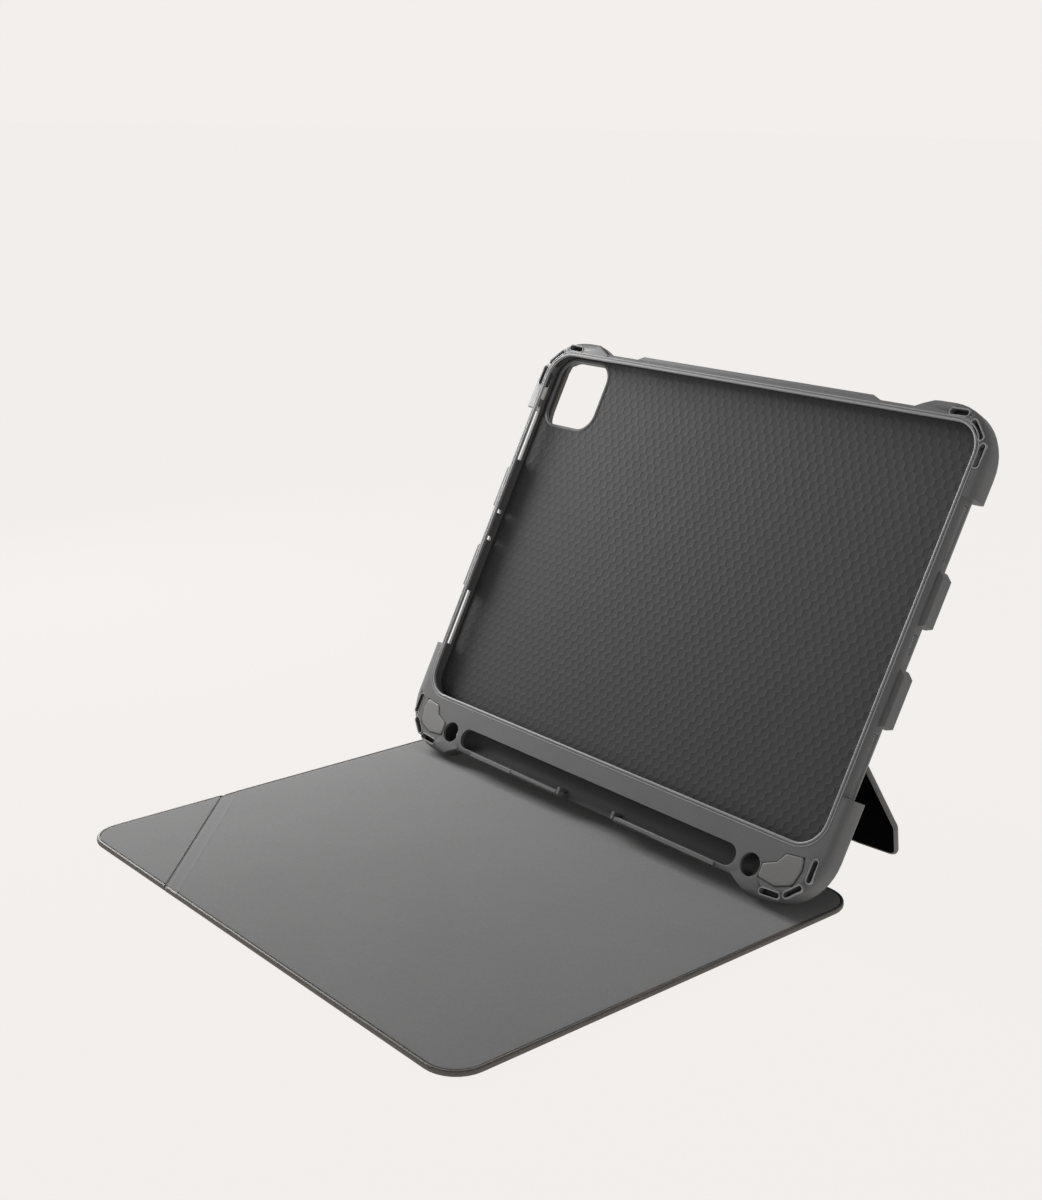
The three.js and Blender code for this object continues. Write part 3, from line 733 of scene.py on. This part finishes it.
def soft_panel(prefix, corners, thickness, matrix, body, inner, flip=False):
    """A skin with a turned hem, and the lining let in behind the hem.

    The lining faces +z, or -z if the panel is flipped.
    """
    sign = -1 if flip else 1
    base = thickness if flip else 0
    edge = 0.75

    def at(height):
        return base + sign * height

    outer = [(i, at(edge - (h - edge))) for i, h in quarter(edge, math.pi / 2, 0, edge)]
    upper = [(i, at(h)) for i, h in quarter(edge, 0, math.pi / 2, thickness - edge)]
    hem = [(HEM - 0.35, at(thickness)), (HEM - 0.05, at(thickness - 0.12)),
           (HEM, at(thickness - 0.6))]
    rings = outer + upper + hem
    skin = loft(f"{prefix}_outer", corners, rings, matrix, [SKIN], body)
    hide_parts(f"{prefix}_skin")
    lining_rings = [(HEM + 0.2, at(thickness - 0.55)), (HEM + 0.2, at(thickness - 0.25)),
                    (HEM + 0.32, at(thickness - 0.08)), (HEM + 0.7, at(thickness)),
                    (HEM + 3.5, at(thickness + 0.06))]
    lining = loft(f"{prefix}_inner", corners, lining_rings, matrix, [inner], body)
    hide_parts(f"{prefix}_lining")


def crease_ends(leg):
    """Where a line across the front-left corner meets the left and the front edge."""
    left = Vector((-COVER_HALF_WIDTH, COVER_FRONT + leg))
    front = Vector((-COVER_HALF_WIDTH + leg, COVER_FRONT))
    return left, front


def cover_panels():
    """The cover, its folding corner and the spine strip, flat on the table."""
    left, front = crease_ends(MAIN_LEG)
    main = [(COVER_HALF_WIDTH, COVER_FRONT, COVER_RADIUS, True),
            (COVER_HALF_WIDTH, COVER_BACK, COVER_RADIUS, True),
            (-COVER_HALF_WIDTH, COVER_BACK, COVER_RADIUS, True),
            (left.x, left.y, TIGHT, False),
            (front.x, front.y, TIGHT, True)]
    soft_panel("cover", main, THICKNESS, FLAT, "cover", LINING)
    left, front = crease_ends(CORNER_LEG)
    corner = [(-COVER_HALF_WIDTH, COVER_FRONT, COVER_RADIUS, True),
              (front.x, front.y, TIGHT, False),
              (left.x, left.y, TIGHT, True)]
    soft_panel("corner", corner, THICKNESS, FLAT, "corner", LINING)
    spine = rectangle(-SPINE_HALF_WIDTH, SPINE_NEAR, SPINE_HALF_WIDTH, SPINE_FAR, 2.5)
    soft_panel("spine", spine, THICKNESS, FLAT, "spine", LINING)


def stand_panel():
    """The stand, with y down the panel from its fold and its lining facing forward."""
    half = STAND_HALF_WIDTH
    right = [(half, 4, 1, True), (half - 0.6, 46, 14, True), (half - 8.9, 70.2, 7, True),
             (half - 29.5, 72.3, 20, True)]
    left = [(-x, y, radius, True) for x, y, radius, _ in reversed(right)]
    place = STAND @ Matrix.Translation((0, 0, -PANEL_THICKNESS / 2))
    corners = right + left
    soft_panel("stand", corners, PANEL_THICKNESS, place, "stand", BLACK, flip=True)


def corner_web():
    """The diagonal fold: its lining laps on to both panels and dips beside the corner's board.

    Its stretches have the share of the way across the fold, and the lining's rise or dip there.
    """
    lap_on_cover = [(-0.16, -0.06), (-0.14, 0.05), (-0.05, 0.09), (0.00, 0.07), (0.08, 0.02)]
    shallow = [(0.16, -0.07), (0.40, -0.10), (0.66, -0.11)]
    groove = [(0.76, -0.20), (0.84, -0.38), (0.90, -0.44), (0.96, -0.34), (1.02, -0.08)]
    lap_on_corner = [(1.06, 0.06), (1.14, 0.08), (1.17, -0.06)]
    across = lap_on_cover + shallow + groove + lap_on_corner
    edge = 0.7
    low = [(edge, 0), (0.2, 0.2), (0, edge)]
    high = [(0, THICKNESS - edge), (0.2, THICKNESS - 0.2), (edge, THICKNESS),
            (HEM - 0.3, THICKNESS), (HEM, THICKNESS - 0.3), (HEM + 0.5, THICKNESS)]
    side = low + high
    main_left, main_front = crease_ends(MAIN_LEG)
    fold_left, fold_front = crease_ends(CORNER_LEG)
    diagonal = math.sqrt(2)
    verts = []
    for share, dip in across:
        start = main_left.lerp(fold_left, share)
        end = main_front.lerp(fold_front, share)
        along = (end - start).normalized()
        lap = share < 0 or share > 1
        profile = []
        for reach, z in side:
            if lap:
                reach, z = max(reach, HEM + 0.3), max(z, THICKNESS - 0.3)
            profile.append((reach, z + (dip if z > THICKNESS - 0.35 else 0)))
        for reach, z in profile:
            point = start + along * reach * diagonal
            verts.append((point.x, point.y, z))
        for reach, z in reversed(profile):
            point = end - along * reach * diagonal
            verts.append((point.x, point.y, z))
    size = 2 * len(side)
    faces, indices = [], []
    for strip in range(len(across) - 1):
        near, far = strip * size, (strip + 1) * size
        for i in range(size):
            j = (i + 1) % size
            faces.append((near + i, near + j, far + j, far + i))
            indices.append(0 if len(side) - 2 <= i <= len(side) else 1)
    faces += [tuple(range(size)), tuple(range(len(verts) - size, len(verts)))]
    indices += [0, 0]
    web = add_object("corner_web", verts, faces, FLAT, [LINING, SKIN], indices)
    start = (main_left + main_front) / 2
    end = (fold_left + fold_front) / 2
    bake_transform(web)
    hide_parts("corner_crease")


def bend(start, middle, end, steps=14):
    """Points of a soft bend from start to end, drawn towards its middle point."""
    points = []
    for step in range(steps + 1):
        t = step / steps
        points.append(start * (1 - t) ** 2 + middle * 2 * t * (1 - t) + end * t * t)
    return points


def fold_web(name, node, path, thick_ends, half_width, skin_first, inner):
    """A web across a fold: it follows a path of (y, z) and is thin in its middle.

    The outer skin is on its first side, the one to the left of the path, or on its second side.
    """
    fullness = 0.6
    border = 0.6
    rounding = 0.25
    verts = []
    last = len(path) - 1
    for i, point in enumerate(path):
        along = (path[min(i + 1, last)] - path[max(i - 1, 0)]).normalized()
        normal = Vector((-along.y, along.x))
        ease = math.sin(math.pi * i / last) ** fullness
        half = (thick_ends * (1 - ease) + WEB_THICKNESS * ease) / 2
        for side in (1, -1):
            offset = point + normal * half * side
            for x in (-half_width, -half_width + border, half_width - border, half_width):
                pull = rounding * half * side if abs(x) == half_width else 0
                verts.append((x, offset.x - normal.x * pull, offset.y - normal.y * pull))
    order = [0, 1, 2, 3, 7, 6, 5, 4]
    size = len(order)
    inside = range(4, 7) if skin_first else range(3)
    faces, indices = [], []
    for strip in range(last):
        near, far = strip * size, (strip + 1) * size
        for i in range(size):
            a, b = order[i], order[(i + 1) % size]
            faces.append((near + a, near + b, far + b, far + a))
            indices.append(1 if i in inside else 0)
    faces += [tuple(order), tuple(last * size + k for k in order)]
    indices += [0, 0]
    web = add_object(name, verts, faces, FLAT, [SKIN, inner], indices)
    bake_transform(web)
    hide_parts(node)


def fold_webs():
    """The folds at the spine's two edges, and the stand's fold at the tray's back."""
    level = THICKNESS / 2
    near = Vector((COVER_BACK - WEB_LAP, level))
    far = Vector((SPINE_NEAR + WEB_LAP, level))
    fold = Vector((joint_point("spine_fold").y, 0.1))
    fold_web("spine_web", "spine_crease", bend(near, fold, far), 1.7, SPINE_HALF_WIDTH - 1,
             False, LINING)

    foot = Vector((STAND_FOOT.y, STAND_FOOT.z))
    down = Vector((math.cos(STAND_SLOPE), -math.sin(STAND_SLOPE)))
    near = Vector((SPINE_FAR - WEB_LAP, level))
    far = foot - down * 3.4
    fold_web("foot_web", "foot_crease", bend(near, foot + Vector((2.6, -0.9)), far), 1.4,
             SPINE_HALF_WIDTH - 1,
             False, BLACK)

    top = Vector((STAND_TOP.y, STAND_TOP.z))
    up = Vector((math.cos(TRAY_SLOPE), math.sin(TRAY_SLOPE)))
    near = top + up * STAND_WEB_REACH
    far = top + down * STAND_WEB_REACH
    fold_web("stand_web", "stand_crease", bend(near, top, far), 1.5, STAND_WEB_HALF_WIDTH,
             True, BLACK)


cover_panels()
stand_panel()
corner_web()
fold_webs()

# ---- CAD pieces that stay, with their materials ------------------------------------

KEPT = {
    BOARD: ["back_board", "stand_board", "spine_board", "cover_board", "corner_board"],
    STEEL: ["cover_magnet_left", "cover_magnet_right", "keeper_plate_left", "keeper_plate_right",
            "foot_magnet_left", "foot_magnet_right"],
}
for material, nodes in KEPT.items():
    for node in nodes:
        data = frame["nodes"][node].data
        data.materials.clear()
        data.materials.append(material)

# ---- Stage and light, in metres ----------------------------------------------------

BACKDROP = (0.888, 0.863, 0.840)
CEILING = grey(0.24)
HORIZON, CEILING_HEIGHT = 0.22, 0.55
FLOOR_HALF = 30
FLOOR_DROP = 0.0002
FLOOR_PAINT = 0.012
FLOOR_LIGHT = 0.9
AIM = Vector((0, 0, 0.05))


def add_softbox(name, watts, place, size, color):
    """A square soft light aimed at the middle of the object."""
    data = bpy.data.lights.new(name, "AREA")
    data.shape = "SQUARE"
    data.size = size
    data.energy = watts
    data.color = color
    lamp = bpy.data.objects.new(name, data)
    lamp.location = place
    lamp.rotation_mode = "QUATERNION"
    lamp.rotation_quaternion = (Vector(place) - AIM).to_track_quat("Z", "Y")
    bpy.context.scene.collection.objects.link(lamp)


def make_world():
    """A pale room with a darker ceiling."""
    world = bpy.data.worlds.new("studio")
    world.use_nodes = True
    nodes = world.node_tree.nodes
    links = world.node_tree.links
    place = nodes.new("ShaderNodeTexCoord").outputs["Generated"]
    split = nodes.new("ShaderNodeSeparateXYZ")
    ramp = nodes.new("ShaderNodeValToRGB")
    ramp.color_ramp.elements[0].position = HORIZON
    ramp.color_ramp.elements[0].color = (*BACKDROP, 1)
    ramp.color_ramp.elements[1].position = CEILING_HEIGHT
    ramp.color_ramp.elements[1].color = (*CEILING, 1)
    links.new(place, split.inputs["Vector"])
    links.new(split.outputs["Z"], ramp.inputs["Fac"])
    links.new(ramp.outputs["Color"], nodes["Background"].inputs["Color"])
    bpy.context.scene.world = world


def make_floor():
    """A lit table: mostly its own even light, so that shadows on it stay faint."""
    recipe = Recipe("stage_floor", 1.0)
    paint = [c * FLOOR_PAINT for c in BACKDROP]
    recipe.color(recipe.ramp(recipe.noise(3), *shades(paint, 0.002)))
    recipe.shader.inputs["Specular IOR Level"].default_value = 0
    glow = [c - p * FLOOR_LIGHT for c, p in zip(BACKDROP, paint)]
    recipe.shader.inputs["Emission Color"].default_value = (*glow, 1)
    recipe.shader.inputs["Emission Strength"].default_value = 1
    signs = ((-1, -1), (1, -1), (1, 1), (-1, 1))
    verts = [(a * FLOOR_HALF, b * FLOOR_HALF, -FLOOR_DROP) for a, b in signs]
    mesh = bpy.data.meshes.new("stage_floor")
    mesh.from_pydata(verts, [], [(0, 1, 2, 3)])
    mesh.materials.append(recipe.material)
    floor = bpy.data.objects.new("stage_floor", mesh)
    bpy.context.scene.collection.objects.link(floor)


def make_stage():
    """A low key light on the left, a weak top light, the room and the floor."""
    add_softbox("key", 5.1, (-0.54, -0.02, 0.32), 0.30, (1, 0.99, 0.98))
    add_softbox("top", 1.2, (-0.25, 0.25, 0.80), 0.4, (0.98, 0.99, 1))
    make_world()
    make_floor()
    bpy.context.scene.view_settings.view_transform = "Standard"


make_stage()
